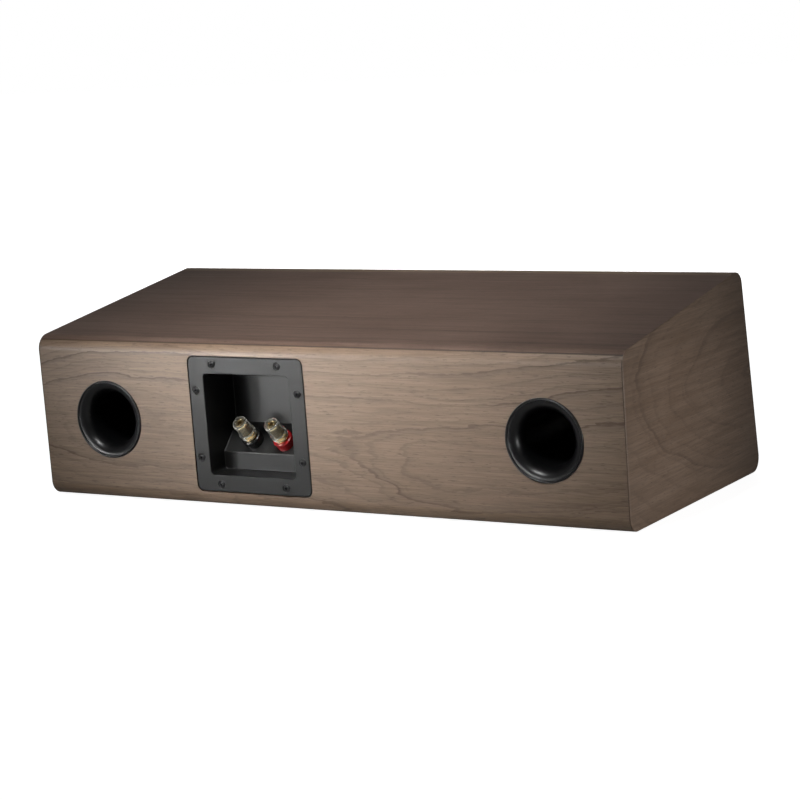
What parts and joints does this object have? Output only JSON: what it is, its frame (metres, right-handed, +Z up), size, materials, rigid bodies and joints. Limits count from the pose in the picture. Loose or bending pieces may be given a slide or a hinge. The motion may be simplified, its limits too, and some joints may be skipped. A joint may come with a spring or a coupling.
{
  "type": "center channel speaker",
  "caption": "Long low loudspeaker with a leaning front, wedge-shaped ends, rounded long edges, rear reflex ports and a recessed terminal cup with binding posts.",
  "frame": {"origin": "middle of the flat bottom, on the surface that the speaker stands on", "axes": "+X along the speaker, to the right of somebody facing its front; the front looks along -Y; +Z up"},
  "size_m": [0.62, 0.2987, 0.1941],
  "materials": {
    "walnut_wrap": "open-pore walnut veneer, satin lacquer",
    "walnut_baffle": "open-pore walnut veneer, satin lacquer",
    "walnut_side": "open-pore walnut veneer, satin lacquer",
    "raw_board": "raw fibreboard",
    "damping_wool": "polyester wadding",
    "port_gloss": "gloss black moulding",
    "plate_black": "fine-grained satin black moulding",
    "foam_gasket": "closed-cell foam",
    "black_screw": "black oxide steel",
    "collar_red": "clear red moulding",
    "collar_black": "gloss black moulding",
    "gold": "polished gold plating",
    "clear_sleeve": "clear acrylic",
    "tail_insulator": "black moulding",
    "zinc": "zinc plated steel",
    "cast_frame": "die-cast aluminium, satin black coat",
    "surround_rubber": "soft rubber",
    "cone_black": "mineral filled polymer",
    "coil": "enamelled wire",
    "spider_cloth": "resin treated cloth",
    "ferrite": "sintered ferrite",
    "faceplate": "satin black aluminium",
    "dome_cloth": "coated cloth",
    "board_green": "printed circuit board",
    "capacitor_sleeve": "film capacitor wrap",
    "ceramic": "cement",
    "nylon": "nylon"
  },
  "bodies": {
    "cabinet": {"cabinet_wrap": "walnut_wrap", "front_baffle": "walnut_baffle", "side_panel_left": "walnut_side", "side_panel_right": "walnut_side", "brace_left": "raw_board", "brace_right": "raw_board", "wadding_left": "damping_wool", "wadding_right": "damping_wool", "terminal_plate": "plate_black", "terminal_gasket": "foam_gasket", "terminal_screws": "black_screw", "crossover_board": "board_green", "board_spacers": "nylon", "board_screws": "zinc", "woofer_choke": "coil", "tweeter_choke": "coil", "capacitors": "capacitor_sleeve", "resistors": "ceramic", "tweeter_faceplate": "faceplate", "tweeter_dome": "dome_cloth", "tweeter_top_plate": "zinc", "tweeter_magnet": "ferrite", "tweeter_yoke": "zinc", "tweeter_rear_chamber": "tail_insulator", "tweeter_screws": "black_screw", "port_left": "port_gloss", "port_right": "port_gloss", "post_black_collar": "collar_black", "post_black_stud": "gold", "post_red_collar": "collar_red", "post_red_stud": "gold", "post_tail_washers": "tail_insulator", "post_solder_tags": "zinc", "post_tail_nuts": "zinc", "woofer_left_frame": "cast_frame", "woofer_left_surround": "surround_rubber", "woofer_left_spider": "spider_cloth", "woofer_left_top_plate": "zinc", "woofer_left_magnet": "ferrite", "woofer_left_yoke": "zinc", "woofer_left_screws": "black_screw", "woofer_right_frame": "cast_frame", "woofer_right_surround": "surround_rubber", "woofer_right_spider": "spider_cloth", "woofer_right_top_plate": "zinc", "woofer_right_magnet": "ferrite", "woofer_right_yoke": "zinc", "woofer_right_screws": "black_screw"},
    "woofer_left_cone": {"woofer_left_cone": "cone_black", "woofer_left_voice_coil": "coil"},
    "woofer_right_cone": {"woofer_right_cone": "cone_black", "woofer_right_voice_coil": "coil"},
    "tweeter_coil": {"tweeter_coil": "coil"},
    "clamp_red": {"post_red_clamp_washer": "gold"},
    "knob_red": {"post_red_knob_nut": "gold", "post_red_knob_sleeve": "clear_sleeve"},
    "clamp_black": {"post_black_clamp_washer": "gold"},
    "knob_black": {"post_black_knob_nut": "gold", "post_black_knob_sleeve": "clear_sleeve"}
  },
  "joints": [
    {"name": "woofer_left_stroke", "type": "slide", "parent": "cabinet", "child": "woofer_left_cone", "axis": [0, -0.9844, 0.1758], "range_m": [-0.005, 0.005], "stiffness_N_per_m": 1200, "deforming": ["woofer_left_surround", "woofer_left_spider"]},
    {"name": "woofer_right_stroke", "type": "slide", "parent": "cabinet", "child": "woofer_right_cone", "axis": [0, -0.9844, 0.1758], "range_m": [-0.005, 0.005], "stiffness_N_per_m": 1200, "deforming": ["woofer_right_surround", "woofer_right_spider"]},
    {"name": "tweeter_stroke", "type": "slide", "parent": "cabinet", "child": "tweeter_coil", "axis": [0, -0.9844, 0.1758], "range_m": [-0.0005, 0.0005], "stiffness_N_per_m": 600, "deforming": ["tweeter_dome"]},
    {"name": "clamp_red_lift", "type": "slide", "parent": "cabinet", "child": "clamp_red", "axis": [0, 0.7338, 0.6794], "range_m": [0, 0.005]},
    {"name": "knob_red_turn", "type": "hinge", "parent": "clamp_red", "child": "knob_red", "pos_m": [0.05411, 0.11663, 0.05734], "axis": [0, 0.7338, 0.6794], "range_deg": [0, 1800]},
    {"name": "clamp_black_lift", "type": "slide", "parent": "cabinet", "child": "clamp_black", "axis": [0, 0.7338, 0.6794], "range_m": [0, 0.005]},
    {"name": "knob_black_turn", "type": "hinge", "parent": "clamp_black", "child": "knob_black", "pos_m": [0.08911, 0.11663, 0.05734], "axis": [0, 0.7338, 0.6794], "range_deg": [0, 1800]}
  ],
  "couplings": [
    {"joint": "knob_red_turn", "follows": "clamp_red_lift", "rad_per_m": 6283.2},
    {"joint": "knob_black_turn", "follows": "clamp_black_lift", "rad_per_m": 6283.2}
  ]
}
